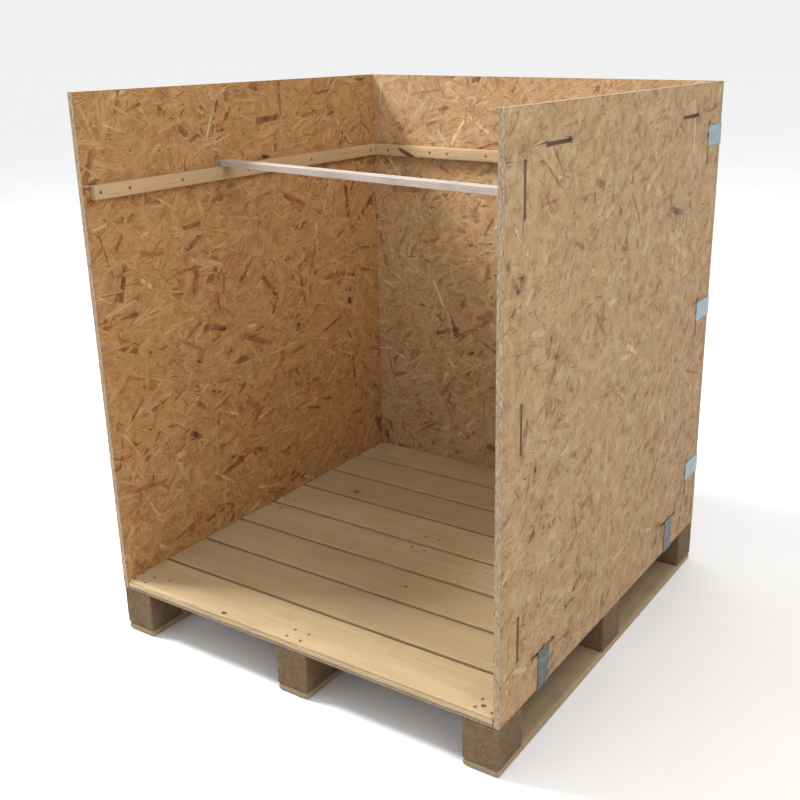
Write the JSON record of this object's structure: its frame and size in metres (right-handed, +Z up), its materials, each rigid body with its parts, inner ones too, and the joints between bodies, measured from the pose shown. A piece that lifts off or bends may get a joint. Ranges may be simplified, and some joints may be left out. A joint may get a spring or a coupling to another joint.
{
  "type": "shipping crate",
  "caption": "Open pallet crate with strand board side and back walls held by steel corner clips, inner ledges, a loose cross batten and a block pallet base.",
  "frame": {"origin": "bottom centre of the crate's box, on the ground under the runners", "axes": "+Z up, +X to the right seen from the open front, -Y out of the open front"},
  "size_m": [1.107, 1.1234, 1.34],
  "materials": {
    "strand_board": "pressed wood strands, sanded, raw",
    "deck_pine": "planed pine, raw",
    "underlay_sheet": "thin fibre sheet, raw",
    "pressed_chip_block": "pressed wood chips, raw",
    "runner_wood": "sawn pine, weathered",
    "cleat_pine": "sawn pine, raw",
    "batten_pine": "planed pine, raw",
    "galvanised_steel": "galvanised spring steel, satin",
    "nail_steel": "dull bright steel"
  },
  "bodies": {
    "crate": {"runner_left": "runner_wood", "runner_center": "runner_wood", "runner_right": "runner_wood", "block_front_left": "pressed_chip_block", "block_front_center": "pressed_chip_block", "block_front_right": "pressed_chip_block", "block_mid_left": "pressed_chip_block", "block_mid_center": "pressed_chip_block", "block_mid_right": "pressed_chip_block", "block_rear_left": "pressed_chip_block", "block_rear_center": "pressed_chip_block", "block_rear_right": "pressed_chip_block", "deck_underlay": "underlay_sheet", "deck_board_1": "deck_pine", "deck_board_2": "deck_pine", "deck_board_3": "deck_pine", "deck_board_4": "deck_pine", "deck_board_5": "deck_pine", "deck_board_6": "deck_pine", "deck_board_7": "deck_pine", "deck_board_8": "deck_pine", "side_panel_left": "strand_board", "side_panel_right": "strand_board", "back_panel": "strand_board", "cleat_left": "cleat_pine", "cleat_right": "cleat_pine", "cleat_back": "cleat_pine", "deck_nails": "nail_steel", "runner_nails": "nail_steel", "cleat_nails": "nail_steel"},
    "cross_batten": {"cross_batten": "batten_pine"},
    "clip_left_rear_low": {"clip_left_rear_low": "galvanised_steel"},
    "clip_left_rear_mid": {"clip_left_rear_mid": "galvanised_steel"},
    "clip_left_rear_top": {"clip_left_rear_top": "galvanised_steel"},
    "clip_base_left_front": {"clip_base_left_front": "galvanised_steel"},
    "clip_base_left_rear": {"clip_base_left_rear": "galvanised_steel"},
    "clip_base_back_left": {"clip_base_back_left": "galvanised_steel"},
    "clip_right_rear_low": {"clip_right_rear_low": "galvanised_steel"},
    "clip_right_rear_mid": {"clip_right_rear_mid": "galvanised_steel"},
    "clip_right_rear_top": {"clip_right_rear_top": "galvanised_steel"},
    "clip_base_right_front": {"clip_base_right_front": "galvanised_steel"},
    "clip_base_right_rear": {"clip_base_right_rear": "galvanised_steel"},
    "clip_base_back_right": {"clip_base_back_right": "galvanised_steel"}
  },
  "joints": [
    {"name": "cross_batten_lift", "type": "slide", "parent": "crate", "child": "cross_batten", "axis": [0, 0, 1], "range_m": [0, 0.25]},
    {"name": "clip_left_rear_low_hinge", "type": "hinge", "parent": "crate", "child": "clip_left_rear_low", "pos_m": [-0.46025, 0.55825, 0.306], "axis": [0, 0, -1], "range_deg": [0, 75]},
    {"name": "clip_left_rear_mid_hinge", "type": "hinge", "parent": "crate", "child": "clip_left_rear_mid", "pos_m": [-0.46025, 0.55825, 0.761], "axis": [0, 0, -1], "range_deg": [0, 75]},
    {"name": "clip_left_rear_top_hinge", "type": "hinge", "parent": "crate", "child": "clip_left_rear_top", "pos_m": [-0.46025, 0.55825, 1.212], "axis": [0, 0, -1], "range_deg": [0, 75]},
    {"name": "clip_base_left_front_hinge", "type": "hinge", "parent": "crate", "child": "clip_base_left_front", "pos_m": [-0.46025, -0.37375, 0.12], "axis": [0, -1, 0], "range_deg": [0, 75]},
    {"name": "clip_base_left_rear_hinge", "type": "hinge", "parent": "crate", "child": "clip_base_left_rear", "pos_m": [-0.46025, 0.35525, 0.12], "axis": [0, -1, 0], "range_deg": [0, 75]},
    {"name": "clip_base_back_left_hinge", "type": "hinge", "parent": "crate", "child": "clip_base_back_left", "pos_m": [-0.362, 0.4685, 0.12], "axis": [-1, 0, 0], "range_deg": [0, 75]},
    {"name": "clip_right_rear_low_hinge", "type": "hinge", "parent": "crate", "child": "clip_right_rear_low", "pos_m": [0.46025, 0.55825, 0.306], "axis": [0, 0, 1], "range_deg": [0, 75]},
    {"name": "clip_right_rear_mid_hinge", "type": "hinge", "parent": "crate", "child": "clip_right_rear_mid", "pos_m": [0.46025, 0.55825, 0.761], "axis": [0, 0, 1], "range_deg": [0, 75]},
    {"name": "clip_right_rear_top_hinge", "type": "hinge", "parent": "crate", "child": "clip_right_rear_top", "pos_m": [0.46025, 0.55825, 1.212], "axis": [0, 0, 1], "range_deg": [0, 75]},
    {"name": "clip_base_right_front_hinge", "type": "hinge", "parent": "crate", "child": "clip_base_right_front", "pos_m": [0.46025, -0.37375, 0.12], "axis": [0, 1, 0], "range_deg": [0, 75]},
    {"name": "clip_base_right_rear_hinge", "type": "hinge", "parent": "crate", "child": "clip_base_right_rear", "pos_m": [0.46025, 0.35525, 0.12], "axis": [0, 1, 0], "range_deg": [0, 75]},
    {"name": "clip_base_back_right_hinge", "type": "hinge", "parent": "crate", "child": "clip_base_back_right", "pos_m": [0.362, 0.4685, 0.12], "axis": [-1, 0, 0], "range_deg": [0, 75]}
  ]
}
